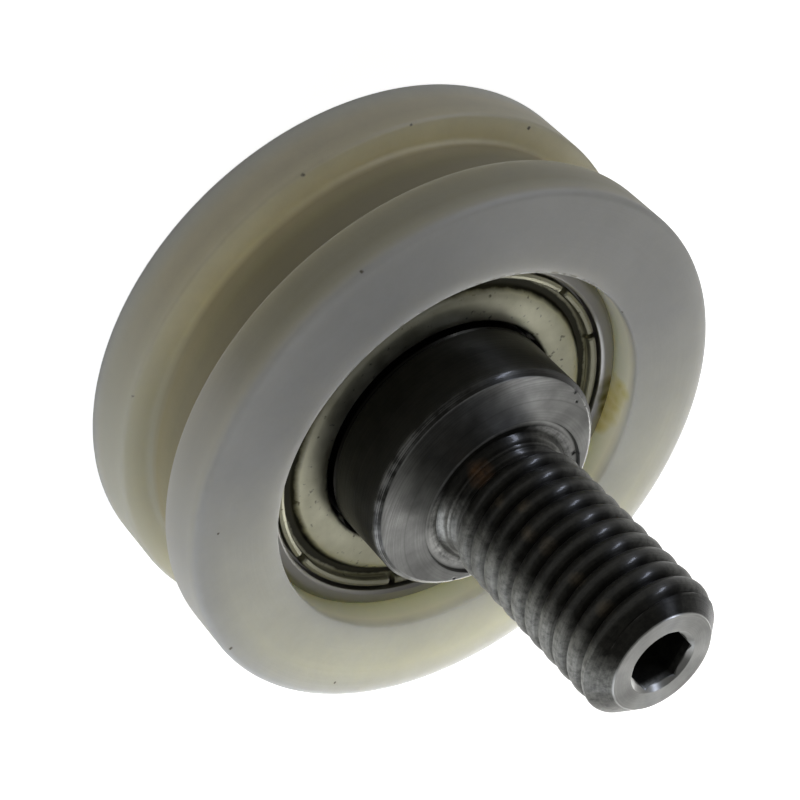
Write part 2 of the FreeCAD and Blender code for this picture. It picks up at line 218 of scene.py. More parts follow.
def new_material(name):
    """A material with its principled shader, and the Object coordinates in it."""
    material = bpy.data.materials.new(name)
    material.use_nodes = True
    tree = material.node_tree
    return material, tree, tree.nodes["Principled BSDF"], add(tree, "TexCoord").outputs["Object"]


def per_mm(size):
    """The texture scale at which one pattern cell is this many millimetres."""
    return 1000.0 / size


def from_axis(tree, place):
    """The level way out from the upright axis through the origin, and its length."""
    flat = add(tree, "VectorMath", operation="MULTIPLY", _0=place, _1=(1.0, 1.0, 0.0))
    return flat, add(tree, "VectorMath", operation="LENGTH", _0=flat)


def zones(tree, table, lengths):
    """Masks along the part, from a table of (which length, from and to in millimetres, level at each)."""
    masks = {}
    for name, (along, start, stop, first, last) in table.items():
        masks[name] = add(tree, "MapRange", Value=lengths[along], _1=mm(start), _2=mm(stop), _3=first,
                          _4=last)
    return masks


def beside(tree, length, line, near, far, inside, outside):
    """A mask by the distance from a line, in millimetres: inside up to near, and outside from far on."""
    gap = add(tree, "Math", operation="SUBTRACT", _0=length, _1=mm(line))
    gap = add(tree, "Math", operation="ABSOLUTE", _0=gap)
    return add(tree, "MapRange", Value=gap, _1=mm(near), _2=mm(far), _3=inside, _4=outside)


def shaken(tree, place, cell, reach):
    """The coordinates pushed about by noise, so that what is drawn on them gets ragged edges."""
    noise = add(tree, "TexNoise", Vector=place, Scale=per_mm(cell), Detail=2.0).outputs["Color"]
    push = add(tree, "VectorMath", operation="MULTIPLY_ADD", _0=noise, _1=(2.0 * mm(reach),) * 3,
               _2=(-mm(reach),) * 3)
    return add(tree, "VectorMath", operation="ADD", _0=place, _1=push)


def marks(tree, place, spots, core=0.5):
    """A mask of (x, y, z, radius) spots in millimetres: 1 inside the core, 0 outside the radius."""
    total = 0.0
    for x, y, z, radius in spots:
        gap = add(tree, "VectorMath", operation="DISTANCE", _0=place, _1=(mm(x), mm(y), mm(z)))
        near = add(tree, "MapRange", Value=gap, _1=mm(radius * core), _2=mm(radius), _3=1.0, _4=0.0)
        total = add(tree, "Math", operation="MAXIMUM", _0=near, _1=total)
    return total


# The nylon's colour by height: rear lip, its groove wall, the groove's floor, front lip, faced front.
# It holds painted light and shade: the groove wall is painted lighter for light let through the lip, the
# groove's floor darker as painted shade in the groove, and the front lip and face greyer as painted shade
NYLON_TONE_AND_SHADE = [
    (0.0, "#deddd0"), (0.9, "#dddac7"), (2.0, "#d7cfb1"), (3.0, "#c9c1a3"), (4.2, "#c9c1a2"),
    (4.4, "#e6ddba"), (4.6, "#f0e8c4"), (5.1, "#c4b98f"), (7.0, "#a89f7a"), (9.5, "#a2986e"),
    (10.0, "#b1ac9a"), (13.2, "#b3b0a2"), (13.8, "#a9a9a6"),
]
# How much painted shade the groove's floor and the front lip take, by height
PAINTED_SHADE_BAND = [(5.2, 0.0), (6.4, 1.0), (12.3, 1.0), (13.1, 0.55), (13.9, 0.0)]
# How much painted light each lip takes, by height, and the lighter colour it then has
PAINTED_LIGHT_LIPS = [
    ([(9.9, 0.0), (10.3, 1.0), (13.0, 1.0), (13.9, 0.0)], "#c8c7bf"),
    ([(0.8, 0.0), (2.0, 0.8), (4.8, 0.8), (5.6, 0.0)], "#cbcab8"),
]
# Zones of the wheel: which length, from and to in millimetres, and the level at each. high is the height,
# out the distance from the axis, and the third length the distance towards the side of the front painted
# lighter
WHEEL_ZONES = {
    "rise": ("high", 0.0, WHEEL_W, 0.0, 1.0),
    "front": ("high", GROOVE_HIGH, 13.8, 0.0, 1.0),
    "front_light": ("toward_light", -6.0, 17.0, 0.0, 0.92),
    "rimward": ("out", 17.8, 19.6, 0.0, 1.0),
    "bore_wall": ("out", 14.03, 14.2, 1.0, 0.0),
    "below_bore_edge": ("high", 13.1, 13.8, 1.0, 0.0),
    "at_bore_edge": ("high", 13.7, 13.84, 0.0, 1.0),
}
# Sides of the wheel: where the front is painted lighter, the side painted in shade, and the side where the
# lips are painted lighter
FRONT_LIGHT_SIDE = (0.57, 0.82, 0.0)
SHADED_SIDE = (-0.574, -0.819, 0.0)
LIP_LIGHT_SIDE = (0.9, -0.436, 0.0)
# Dark specks pressed into the nylon, each where it sits on a lip, a groove edge or a face
NYLON_SPECKS = [
    (-4.9, -19.3, 4.35, 0.2), (-12.1, -15.8, 4.35, 0.17), (-17.9, -7.9, 4.37, 0.17),
    (-3.2, -19.7, 13.8, 0.16), (12.4, -15.6, 4.35, 0.17), (14.2, -11.7, 14.0, 0.13),
    (19.4, -2.5, 13.95, 0.16), (-13.97, 0.7, 14.0, 0.16), (-7.5, 18.4, 12.0, 0.15),
    (9.6, 17.5, 2.0, 0.17), (16.9, 8.2, 14.0, 0.13), (-15.2, 4.0, 0.0, 0.16),
]
# Bearing grease wiped on the bore wall, and on the ring's face beside it
GREASE_SPOTS = [
    (-10.9, 8.8, 12.2, 1.0), (-10.4, 9.4, 12.2, 1.3), (-9.8, 10.0, 12.1, 1.2),
    (-9.2, 10.6, 12.0, 1.0), (-8.4, 11.2, 12.0, 0.9), (-10.7, 9.0, 13.0, 0.8),
]
RING_SMEARS = [(-10.6, 8.4, 11.8, 1.0), (-9.9, 9.1, 11.8, 0.9), (-9.2, 9.9, 11.8, 0.7)]
BURR_R = BORE_R + 0.07


def nylon_material():
    """Natural nylon 6, turned from cast rod.

    It gives the eye a milky off-white that lets light in a few millimetres, cooler on the freshly faced
    front and creamier in the groove and on the rear lip, with a soft sheen, faint turning marks and specks.
    Its colour also holds painted light and shade: the front greyer and the groove's floor and one side
    darker, as painted shade, and the groove wall, the bore, one side of the front and one side of the lips
    lighter, as painted light.
    """
    material, tree, shader, place = new_material("nylon_6_natural_turned")
    high = add(tree, "SeparateXYZ", Vector=place).outputs["Z"]
    flat, out = from_axis(tree, place)
    side = add(tree, "VectorMath", operation="NORMALIZE", _0=flat)
    toward_light = add(tree, "VectorMath", operation="DOT_PRODUCT", _0=place, _1=FRONT_LIGHT_SIDE)
    zone = zones(tree, WHEEL_ZONES, {"high": high, "out": out, "toward_light": toward_light})
    stops = [(z / WHEEL_W, colour(shade)) for z, shade in NYLON_TONE_AND_SHADE]
    body = add(tree, "ValToRGB", stops=stops, Fac=zone["rise"])
    # Painted light: the front is lighter and creamier towards the side the light comes from, less so at the
    # rim
    toward_light = add(tree, "Math", operation="MULTIPLY", _0=zone["front_light"], _1=zone["front"])
    lighter_front = add(tree, "Mix", data_type="RGBA", _0=zone["rimward"], _6=colour("#e7e6d0"),
                   _7=colour("#c2c3bf"))
    body = add(tree, "Mix", data_type="RGBA", _0=toward_light, _6=body, _7=lighter_front)
    # Clouds some 8 mm across in the rod itself, and a finer mottle
    cloud = add(tree, "TexNoise", Vector=place, Scale=per_mm(8.0), Detail=8.0, Roughness=0.72)
    mottle = add(tree, "ValToRGB", stops=[(0.32, grey(0.9)), (0.68, grey(1.06))], Fac=cloud)
    body = add(tree, "Mix", data_type="RGBA", blend_type="MULTIPLY", _0=1.0, _6=body, _7=mottle)
    # Painted shade: one side of the groove's floor and the front lip is darkened, the side the lamps light
    # least
    toward_shade = add(tree, "VectorMath", operation="DOT_PRODUCT", _0=side, _1=SHADED_SIDE)
    shaded = add(tree, "MapRange", Value=toward_shade, _1=0.45, _2=0.8)
    stops = [(z / WHEEL_W, grey(level)) for z, level in PAINTED_SHADE_BAND]
    band = add(tree, "ValToRGB", stops=stops, Fac=zone["rise"])
    shaded = add(tree, "Math", operation="MULTIPLY", _0=shaded, _1=band)
    body = add(tree, "Mix", data_type="RGBA", blend_type="MULTIPLY", _0=shaded, _6=body,
               _7=colour("#dcdac3"))
    # Painted light: both lips are lighter on the side that the side key lights, as a painted sheen
    lit_lips = add(tree, "VectorMath", operation="DOT_PRODUCT", _0=side, _1=LIP_LIGHT_SIDE)
    lit_lips = add(tree, "MapRange", Value=lit_lips, _1=0.66, _2=0.97)
    for levels, shade in PAINTED_LIGHT_LIPS:
        stops = [(z / WHEEL_W, grey(level)) for z, level in levels]
        lip = add(tree, "ValToRGB", stops=stops, Fac=zone["rise"])
        lip = add(tree, "Math", operation="MULTIPLY", _0=lit_lips, _1=lip)
        body = add(tree, "Mix", data_type="RGBA", _0=lip, _6=body, _7=colour(shade))
    # The bored hole is cream, painted lighter still as painted light let through the nylon, and has grease
    # wiped on its wall
    bore_lightened = add(tree, "Math", operation="MULTIPLY", _0=zone["bore_wall"], _1=zone["below_bore_edge"])
    grease = marks(tree, shaken(tree, place, 1.6, 0.8), GREASE_SPOTS, 0.0)
    grease = add(tree, "MapRange", Value=grease, _1=0.05, _2=0.95, _3=0.0, _4=0.7)
    # Burrs along the bore's edge on the shaded side, with dirt caught in them
    burr = beside(tree, out, BURR_R, 0.06, 0.17, 1.0, 0.0)
    near_shaded_side = add(tree, "MapRange", Value=toward_shade, _1=0.6, _2=0.8)
    torn = add(tree, "TexNoise", Vector=place, Scale=per_mm(0.9), Detail=4.0)
    torn = add(tree, "MapRange", Value=torn, _1=0.5, _2=0.62, _3=0.0, _4=0.8)
    for mask in (zone["at_bore_edge"], near_shaded_side, torn):
        burr = add(tree, "Math", operation="MULTIPLY", _0=burr, _1=mask)
    specks = marks(tree, shaken(tree, place, 0.2, 0.08), NYLON_SPECKS)
    layers = [(bore_lightened, "#fdf7e2"), (grease, "#d6cd5d"), (burr, "#5a5748"), (specks, "#5a5446")]
    for mask, shade in layers:
        body = add(tree, "Mix", data_type="RGBA", _0=mask, _6=body, _7=colour(shade))
    handled = add(tree, "MapRange", Value=cloud, _1=0.3, _2=0.7, _3=0.52, _4=0.66)
    # Turning marks: real ones are about 0.1 mm apart, drawn at 0.35 mm so that they show
    lathe = add(tree, "Math", operation="ADD", _0=out, _1=high)
    rings = add(tree, "TexNoise", noise_dimensions="1D", W=lathe, Scale=per_mm(0.35), Detail=2.0)
    grain = add(tree, "TexNoise", Vector=place, Scale=per_mm(0.4), Detail=3.0)
    height = add(tree, "Math", operation="ADD", _0=rings, _1=grain)
    bump = add(tree, "Bump", Strength=0.2, Distance=mm(0.04), Height=height)
    plug(tree, shader, {"Base Color": body, "Roughness": handled, "IOR": 1.53, "Normal": bump})
    # Light goes in some 5 mm, red a little deeper than blue
    plug(tree, shader, {"Subsurface Weight": 1.0, "Subsurface Radius": (1.0, 0.95, 0.8),
                        "Subsurface Scale": mm(5.5)})
    return material


# Patches on a steel and how dull they are, how far the painted shade fades in above its height, how ragged a
# smear is
STEEL_PATCH = 1.1
STEEL_DULL = 0.88
SHADE_FADE = 0.4
SMEAR_CELL = 1.5
SMEAR_REACH = 0.5


def steel_material(name, shade, roughness, spread=0.08, darkened_above=None, smears=()):
    """A worked steel: one metal colour, a roughness that wanders, painted shade above a height, and smears.
    """
    material, tree, shader, place = new_material(name)
    wander = add(tree, "TexNoise", Vector=place, Scale=per_mm(STEEL_PATCH), Detail=4.0)
    shine = add(tree, "MapRange", Value=wander, _1=0.3, _2=0.7, _3=roughness - spread,
                _4=roughness + spread)
    dull = [c * STEEL_DULL for c in colour(shade)[:3]] + [1.0]
    body = add(tree, "ValToRGB", stops=[(0.25, dull), (0.75, colour(shade))], Fac=wander)
    if darkened_above:
        # Painted shade: the steel goes near black above the height
        high = add(tree, "SeparateXYZ", Vector=place).outputs["Z"]
        darkening = add(tree, "MapRange", Value=high, _1=mm(darkened_above), _2=mm(darkened_above + SHADE_FADE))
        body = add(tree, "Mix", data_type="RGBA", _0=darkening, _6=body, _7=colour("#1c1b17"))
    if smears:
        wiped = marks(tree, shaken(tree, place, SMEAR_CELL, SMEAR_REACH), smears, 0.1)
        body = add(tree, "Mix", data_type="RGBA", _0=wiped, _6=body, _7=colour("#5d5930"))
    plug(tree, shader, {"Base Color": body, "Roughness": shine, "Metallic": 1.0})
    return material


# Painted shade on the shields: how dark they are painted over this span, from inside to outside, and the
# side that is painted darker
SHIELD_SPAN = (9.0, 13.0)
SHIELD_SHADE = [(0.0, 0.75), (0.06, 0.0), (0.54, 0.0), (0.62, 1.0), (0.75, 1.0), (0.79, 0.35)]
SHADED_SHIELD_SIDE = (-0.17, -0.985, 0.0)


def shield_material():
    """Zinc-plated steel sheet, pressed.

    It gives the eye a satin cream with a soft broad sheen and faint cloudy patches from the plating. Its
    colour is painted darker in the trough inside the rolled rim, over the rim, along the edge of the hole
    and over one side, as painted shade.
    """
    material, tree, shader, place = new_material("steel_sheet_zinc_plated")
    flat, out = from_axis(tree, place)
    side = add(tree, "VectorMath", operation="NORMALIZE", _0=flat)
    cloud = add(tree, "TexNoise", Vector=place, Scale=per_mm(1.8), Detail=5.0, Roughness=0.6)
    body = add(tree, "ValToRGB", stops=[(0.3, colour("#cccab0")), (0.7, colour("#e2e0c8"))], Fac=cloud)
    # Painted shade: darker in the trough inside the rolled rim, over the rim and along the hole's edge
    wavy = add(tree, "Math", operation="MULTIPLY_ADD", _0=cloud, _1=mm(0.5), _2=out)
    wavy = add(tree, "MapRange", Value=wavy, _1=mm(SHIELD_SPAN[0]), _2=mm(SHIELD_SPAN[1]))
    trough = add(tree, "ValToRGB", stops=[(at, grey(level)) for at, level in SHIELD_SHADE], Fac=wavy)
    # Painted shade: one side is darkened, standing in for the dark collar it mirrors and its shadow
    shield_shade = add(tree, "VectorMath", operation="DOT_PRODUCT", _0=side, _1=SHADED_SHIELD_SIDE)
    shield_shade = add(tree, "MapRange", Value=shield_shade, _1=0.5, _2=0.95, _3=0.0, _4=0.42)
    # Flecks of dirt on the plate
    flecks = add(tree, "TexNoise", Vector=place, Scale=per_mm(0.55), Detail=3.0)
    flecks = add(tree, "MapRange", Value=flecks, _1=0.64, _2=0.72, _3=0.0, _4=0.7)
    for mask, shade in ((shield_shade, "#26251f"), (trough, "#3e3d33"), (flecks, "#4b4938")):
        body = add(tree, "Mix", data_type="RGBA", _0=mask, _6=body, _7=colour(shade))
    shine = add(tree, "MapRange", Value=cloud, _1=0.3, _2=0.7, _3=0.34, _4=0.48)
    # Plating grain: real crystals are finer than 0.01 mm, drawn at 0.25 mm so that they show
    grain = add(tree, "TexNoise", Vector=place, Scale=per_mm(0.25), Detail=2.0)
    bump = add(tree, "Bump", Strength=0.15, Distance=mm(0.02), Height=grain)
    plug(tree, shader, {"Base Color": body, "Roughness": shine, "Metallic": 1.0, "Normal": bump})
    return material


# Zones of the stud: which length, from and to in millimetres, and the level at each. high is the height,
# out the distance from the shank's axis, and around the distance from the bearing's axis
STUD_ZONES = {
    "off_tail": ("high", 1.58, 1.72, 0.0, 1.0),
    "above_journal": ("high", 15.5, 16.0, 0.0, 1.0),
    "slim": ("out", 5.5, 5.9, 1.0, 0.0),
    "below_collar_top": ("high", 16.84, 17.0, 1.0, 0.0),
    "collar_break": ("around", COLLAR_R - COLLAR_BREAK - 0.02, COLLAR_R - COLLAR_BREAK + 0.04, 0.0,
                     1.0),
    "collar_rim": ("around", COLLAR_R - 0.5, COLLAR_R - 0.1, 0.0, 1.0),
    "collar_upper": ("high", 16.1, 16.5, 0.0, 1.0),
    "front_end": ("high", 16.0, 16.3, 0.0, 1.0),
    "sunk": ("high", COLLAR_TOP - 0.03, COLLAR_TOP, 1.0, 0.0),
    "outside_root": ("out", 5.1, 5.35, 0.0, 1.0),
    "inside_relief": ("out", 5.85, 5.97, 1.0, 0.0),
    "thread_roots": ("out", 4.5, 4.8, 1.0, 0.0),
    "above_neck": ("high", 17.2, 17.6, 0.0, 1.0),
    "below_end": ("high", 33.9, 33.97, 1.0, 0.0),
    "below_mouth": ("high", 33.7, 33.76, 1.0, 0.0),
    "round_mouth": ("out", 2.5, 2.6, 0.0, 1.0),
    "socket": ("out", 2.34, 2.42, 1.0, 0.0),
    "in_socket": ("high", 33.2, 33.7, 1.0, 0.0),
    "socket_half": ("high", 20.0, 21.0, 0.0, 1.0),
    "dullness": ("high", 17.0, 17.6, 0.33, 0.58),
}
# The height between the collar's face and the relief's floor, both of which are wiped clean
WIPED_FACE = 16.68
# Sides of the stud: where oil and painted shade lie on the thread, and where hands have scuffed the
# collar's edge
OILY_SHADED_SIDE = (-0.24, -0.971, 0.0)
SCUFFED_SIDE = (0.8, -0.6, 0.0)
# The steel's shades where it is clean, oily and worn, each as two levels of the smears and their colours;
# the oily shade is also laid as painted shade
STUD_SHADES = [
    ((0.3, "#949491"), (0.7, "#a6a6a2")),
    ((0.3, "#1d1d19"), (0.75, "#2a2924")),
    ((0.3, "#696964"), (0.7, "#82827c")),
]
# Nicks on the collar's face, rust that shows through the oil, and brownish marks on the thread's crests
COLLAR_NICKS = [
    (-8.12, -0.43, 16.75, 0.24), (-8.26, 0.49, 16.75, 0.2), (-7.75, 0.43, 16.8, 0.16),
    (-8.08, 1.5, 16.75, 0.26), (-5.4, 4.67, 16.7, 0.34), (6.1, 5.2, 16.8, 0.18), (2.2, 8.0, 16.75, 0.2),
]
RUST_SPOTS = [(0.0, -2.2, 17.6, 1.1), (4.2, 5.2, 21.0, 0.5), (-2.6, 6.8, 27.4, 0.5)]
CREST_MARKS = [
    (0.4, -2.4, 20.1, 0.7), (0.4, -2.4, 23.6, 0.7), (0.2, -2.4, 25.3, 0.7), (0.3, -2.4, 28.6, 0.7),
    (0.3, -2.4, 31.5, 0.7), (-0.6, -2.5, 21.8, 0.6),
]


def stud_material():
    """Free-cutting steel, turned and left oily.

    It gives the eye bright faces with rings from the tool, a sheen that the rings draw out across them, a
    thread and a collar side darkened by an old oily film and by painted shade, painted shade in the thread's
    roots, the relief's corner and the socket, and a few rust spots and nicks.
    """
    material, tree, shader, place = new_material("steel_turned_oily")
    on_shank = add(tree, "VectorMath", operation="SUBTRACT", _0=place, _1=(0.0, mm(ECC), 0.0))
    high = add(tree, "SeparateXYZ", Vector=on_shank).outputs["Z"]
    flat, out = from_axis(tree, on_shank)
    side = add(tree, "VectorMath", operation="NORMALIZE", _0=flat)
    across = add(tree, "SeparateXYZ", Vector=side).outputs["X"]
    around = from_axis(tree, place)[1]
    zone = zones(tree, STUD_ZONES, {"high": high, "out": out, "around": around})
    smear = add(tree, "TexNoise", Vector=place, Scale=per_mm(2.2), Detail=5.0, Roughness=0.6)

    # Oil lies on the thread's one side and all along the collar's side, and there it also stands in as
    # painted shade and painted dark reflection; the faces, end and tail are wiped
    lean = add(tree, "VectorMath", operation="DOT_PRODUCT", _0=side, _1=OILY_SHADED_SIDE)
    lean = add(tree, "Math", operation="MULTIPLY_ADD", _0=smear, _1=0.5, _2=lean)
    shank = add(tree, "Math", operation="MULTIPLY", _0=zone["above_journal"], _1=zone["slim"])
    collar = add(tree, "Math", operation="SUBTRACT", use_clamp=True, _0=zone["below_collar_top"],
                 _1=shank)
    lean = add(tree, "Math", operation="MULTIPLY_ADD", _0=collar, _1=0.9, _2=lean)
    oil_and_shade = add(tree, "MapRange", Value=lean, _1=0.79, _2=1.05)
    off_face = beside(tree, high, WIPED_FACE, 0.17, 0.24, 0.0, 1.0)
    for mask in (zone["collar_break"], shank):
        off_face = add(tree, "Math", operation="MAXIMUM", _0=off_face, _1=mask)
    mouth = add(tree, "Math", operation="MAXIMUM", _0=zone["below_mouth"], _1=zone["round_mouth"])
    off_end = add(tree, "Math", operation="MINIMUM", _0=zone["below_end"], _1=mouth)
    for mask in (off_face, off_end, zone["off_tail"]):
        oil_and_shade = add(tree, "Math", operation="MULTIPLY", _0=oil_and_shade, _1=mask)
    # Painted shade in the thread's roots, all round but less on the side that the light falls on
    less_on_lit_side = add(tree, "MapRange", Value=across, _1=0.1, _2=0.7, _3=0.85, _4=0.1)
    root_shade = zone["thread_roots"]
    for mask in (less_on_lit_side, zone["above_neck"], off_end):
        root_shade = add(tree, "Math", operation="MULTIPLY", _0=root_shade, _1=mask)
    # Painted shade in the corner of the relief round the shank, and down the socket
    corner = beside(tree, out, RELIEF_R - 0.02, 0.05, 0.14, 0.8, 0.0)
    for mask in (zone["sunk"], zone["front_end"]):
        corner = add(tree, "Math", operation="MULTIPLY", _0=corner, _1=mask)
    socket_shade = zone["socket"]
    for mask in (zone["in_socket"], zone["socket_half"]):
        socket_shade = add(tree, "Math", operation="MULTIPLY", _0=socket_shade, _1=mask)
    # All that is darkened: oil, and painted shade in the roots, the relief's corner and the socket
    dark = oil_and_shade
    for mask in (root_shade, corner, socket_shade):
        dark = add(tree, "Math", operation="MAXIMUM", _0=dark, _1=mask)

    finishes = []
    for shades in STUD_SHADES:
        stops = [(at, colour(shade)) for at, shade in shades]
        finishes.append(add(tree, "ValToRGB", stops=stops, Fac=smear))
    clean, oily, worn = finishes
    shank = add(tree, "Math", operation="MULTIPLY", _0=shank, _1=off_end)
    bare = add(tree, "Mix", data_type="RGBA", _0=shank, _6=clean, _7=worn)
    bare = add(tree, "Mix", data_type="RGBA", _0=off_end, _6=colour("#afafab"), _7=bare)
    # The relief's floor has the lightest steel colour
    lightest_floor = zone["outside_root"]
    for mask in (zone["inside_relief"], zone["sunk"], zone["front_end"]):
        lightest_floor = add(tree, "Math", operation="MULTIPLY", _0=lightest_floor, _1=mask)
    bare = add(tree, "Mix", data_type="RGBA", _0=lightest_floor, _6=bare, _7=colour("#d2d2ce"))
    # The oily tone laid by the dark mask is oil and painted shade
    body = add(tree, "Mix", data_type="RGBA", _0=dark, _6=bare, _7=oily)
    # Scuffs through the oil along the collar's edge, in lines drawn at 0.13 mm
    lines = add(tree, "Math", operation="SUBTRACT", _0=around, _1=high)
    lines = add(tree, "TexNoise", noise_dimensions="1D", W=lines, Scale=per_mm(0.13), Detail=2.0)
    patchy = add(tree, "TexNoise", Vector=place, Scale=per_mm(1.4), Detail=3.0)
    scuff = add(tree, "Math", operation="MULTIPLY", _0=lines, _1=patchy)
    scuff = add(tree, "MapRange", Value=scuff, _1=0.2, _2=0.32)
    handled = add(tree, "VectorMath", operation="DOT_PRODUCT", _0=side, _1=SCUFFED_SIDE)
    handled = add(tree, "MapRange", Value=handled, _1=0.35, _2=0.85, _3=0.1, _4=1.0)
    edge = zone["collar_rim"]
    for mask in (zone["collar_upper"], scuff, handled):
        edge = add(tree, "Math", operation="MULTIPLY", _0=edge, _1=mask)
    ragged = shaken(tree, place, 0.7, 0.35)
    crest_marks = marks(tree, ragged, CREST_MARKS, 0.1)
    rust = marks(tree, ragged, RUST_SPOTS, 0.1)
    for mask, shade in ((edge, "#8c8c88"), (crest_marks, "#453e32"), (rust, "#63472b")):
        body = add(tree, "Mix", data_type="RGBA", _0=mask, _6=body, _7=colour(shade))
    # Tool rings, broken in places: real ones are under 0.1 mm apart, drawn at 0.2 mm so that they show
    turned_on = add(tree, "Mix", _0=zone["front_end"], _2=around, _3=out)
    feed = add(tree, "Math", operation="SUBTRACT", _0=turned_on, _1=high)
    rings = add(tree, "TexNoise", noise_dimensions="1D", W=feed, Scale=per_mm(0.2), Detail=4.0,
                Roughness=0.7)
    broken = add(tree, "TexNoise", Vector=place, Scale=per_mm(1.5), Detail=3.0)
    ring = add(tree, "Math", operation="MULTIPLY", _0=rings, _1=broken)
    streak = add(tree, "ValToRGB", stops=[(0.12, grey(0.72)), (0.36, grey(1.08))], Fac=ring)
    # The rubbed thread is galled in small bright and dark flecks, and painted darker on one side as shade
    galled = add(tree, "TexNoise", Vector=place, Scale=per_mm(0.45), Detail=5.0, Roughness=0.7)
    stops = [(0.34, grey(0.55)), (0.5, grey(1.0)), (0.68, grey(1.35))]
    galled = add(tree, "ValToRGB", stops=stops, Fac=galled)
    darker_side = add(tree, "MapRange", Value=across, _1=-0.85, _2=-0.35, _3=0.6, _4=1.0)
    for mask, tint in ((1.0, streak), (shank, galled), (shank, darker_side)):
        body = add(tree, "Mix", data_type="RGBA", blend_type="MULTIPLY", _0=mask, _6=body, _7=tint)
    nicks = marks(tree, shaken(tree, place, 0.25, 0.2), COLLAR_NICKS)
    body = add(tree, "Mix", data_type="RGBA", _0=nicks, _6=body, _7=colour("#191a17"))

    # Wiped thread is scuffed dull, turned faces are finer, and smears change both a little
    shine = add(tree, "Mix", _0=off_end, _2=0.36, _3=zone["dullness"])
    shine = add(tree, "Mix", _0=dark, _2=shine, _3=0.38)
    shine = add(tree, "Math", operation="MULTIPLY_ADD", _0=smear, _1=0.16, _2=shine)
    shine = add(tree, "Math", operation="SUBTRACT", _0=shine, _1=0.08)
    # Oil, painted shade and rust hide the metal
    metal = add(tree, "MapRange", Value=dark, _1=0.0, _2=1.0, _3=1.0, _4=0.4)
    metal = add(tree, "Math", operation="SUBTRACT", use_clamp=True, _0=metal, _1=rust)
    along_rings = add(tree, "VectorMath", operation="CROSS_PRODUCT", _0=(0.0, 0.0, 1.0), _1=side)
    pits = add(tree, "Math", operation="MULTIPLY_ADD", _0=nicks, _1=-0.35, _2=ring)
    bump = add(tree, "Bump", Strength=0.5, Distance=mm(0.06), Height=pits)
    plug(tree, shader, {"Base Color": body, "Roughness": shine, "Metallic": metal, "Normal": bump,
                        "Tangent": along_rings, "Anisotropic": 0.8, "Anisotropic Rotation": 0.25,
                        "Specular IOR Level": 0.15})
    # The film of oil is a thin clear coat with sharp small highlights
    plug(tree, shader, {"Coat Weight": 0.14, "Coat Roughness": 0.12, "Coat IOR": 1.47})
    return material


# Wheel

def build_wheel():
    bm = bmesh.new()
    floor = WHEEL_R - GROOVE_DEPTH
    corners = [
        (REAR_HOLE_R, BEARING_REAR), (REAR_HOLE_R, REAR_HOLE_BREAK), (REAR_HOLE_R + REAR_HOLE_BREAK, 0.0),
        (WHEEL_R, 0.0), (WHEEL_R, GROOVE_LOW), (floor, GROOVE_LOW + GROOVE_DRAFT),
        (floor, GROOVE_HIGH - GROOVE_DRAFT), (WHEEL_R, GROOVE_HIGH), (WHEEL_R, WHEEL_W),
        (BORE_R, WHEEL_W), (BORE_R, BEARING_REAR), (REAR_HOLE_R, BEARING_REAR),
    ]
    rounds = {1: 0.1, 2: 0.1, 3: 0.45, 4: 0.3, 5: 0.4, 6: 0.4, 7: 0.3, 8: 0.45, 9: 0.14}
    polyline(bm, corners, rounds, segments=6)
    spin_wire(bm)
    return finish_mesh(bm, "nylon_wheel")


# Bearing

def build_outer_ring():
    bm = bmesh.new()
    low, high = BEARING_REAR, BEARING_FRONT
    corners = [
        (OUTER_LAND_R, low + SEAT_DEPTH), (SEAT_R, low + SEAT_DEPTH), (SEAT_R, low + SEAT_BREAK),
        (SEAT_R + SEAT_BREAK, low), (BORE_R - RING_BREAK, low), (BORE_R, low + RING_BREAK),
        (BORE_R, high - RING_BREAK), (BORE_R - RING_BREAK, high), (SEAT_R + SEAT_BREAK, high),
        (SEAT_R, high - SEAT_BREAK), (SEAT_R, high - SEAT_DEPTH), (OUTER_LAND_R, high - SEAT_DEPTH),
        (OUTER_LAND_R, high - LAND_INSIDE), (RACE_SIDE_R, high - RACE_SIDE_INSIDE),
        (RACE_R, (low + high) / 2.0), (RACE_SIDE_R, low + RACE_SIDE_INSIDE),
        (OUTER_LAND_R, low + LAND_INSIDE), (OUTER_LAND_R, low + SEAT_DEPTH),
    ]
    rounds = {2: 0.06, 3: 0.06, 4: 0.12, 5: 0.15, 6: 0.15, 7: 0.12, 8: 0.06, 9: 0.06}
    polyline(bm, corners, rounds, segments=3)
    spin_wire(bm)
    return finish_mesh(bm, "bearing_outer_ring")


# A shield's section as (radius, depth under the ring's face): dished face, trough, and back behind them
SHIELD_SECTION = [
    (SHIELD_HOLE_R, 0.85), (SHIELD_HOLE_R, 0.5), (9.3, 0.32), (10.1, 0.25), (10.75, 0.33), (11.15, 0.58),
    (11.36, 0.93), (SHIELD_EDGE_R, 0.93), (SHIELD_EDGE_R, 0.99), (11.2, 0.99), (10.9, 0.7),
    (SHIELD_HOLE_R + 0.2, 0.75), (SHIELD_HOLE_R, 0.85),
]
SHIELD_ROUNDS = {1: 0.12, 2: 0.3, 3: 0.3, 4: 0.25, 5: 0.2, 6: 0.1}
# The rolled rim's section as (part of half its width, depth), and its slots as (place, width) in degrees
RIM_SECTION = [
    (-1.0, 0.96), (-1.0, 0.56), (-0.7, 0.38), (0.0, 0.3), (0.7, 0.38), (1.0, 0.56), (1.0, 0.96),
]
RIM_SLOTS = [
    (-4.0, 3.2), (40.0, 2.2), (80.0, 2.4), (122.0, 2.4), (163.0, 2.2), (189.0, 2.8), (229.0, 2.4),
    (274.0, 2.4), (318.0, 2.4),
]
# Degrees to a step along the rim, and how far its edges steeper than this angle are rounded
RIM_STEP = 1.6
RIM_END_ANGLE = 60.0
RIM_END_ROUND = 0.12
SHIELD_WELD = 0.0002


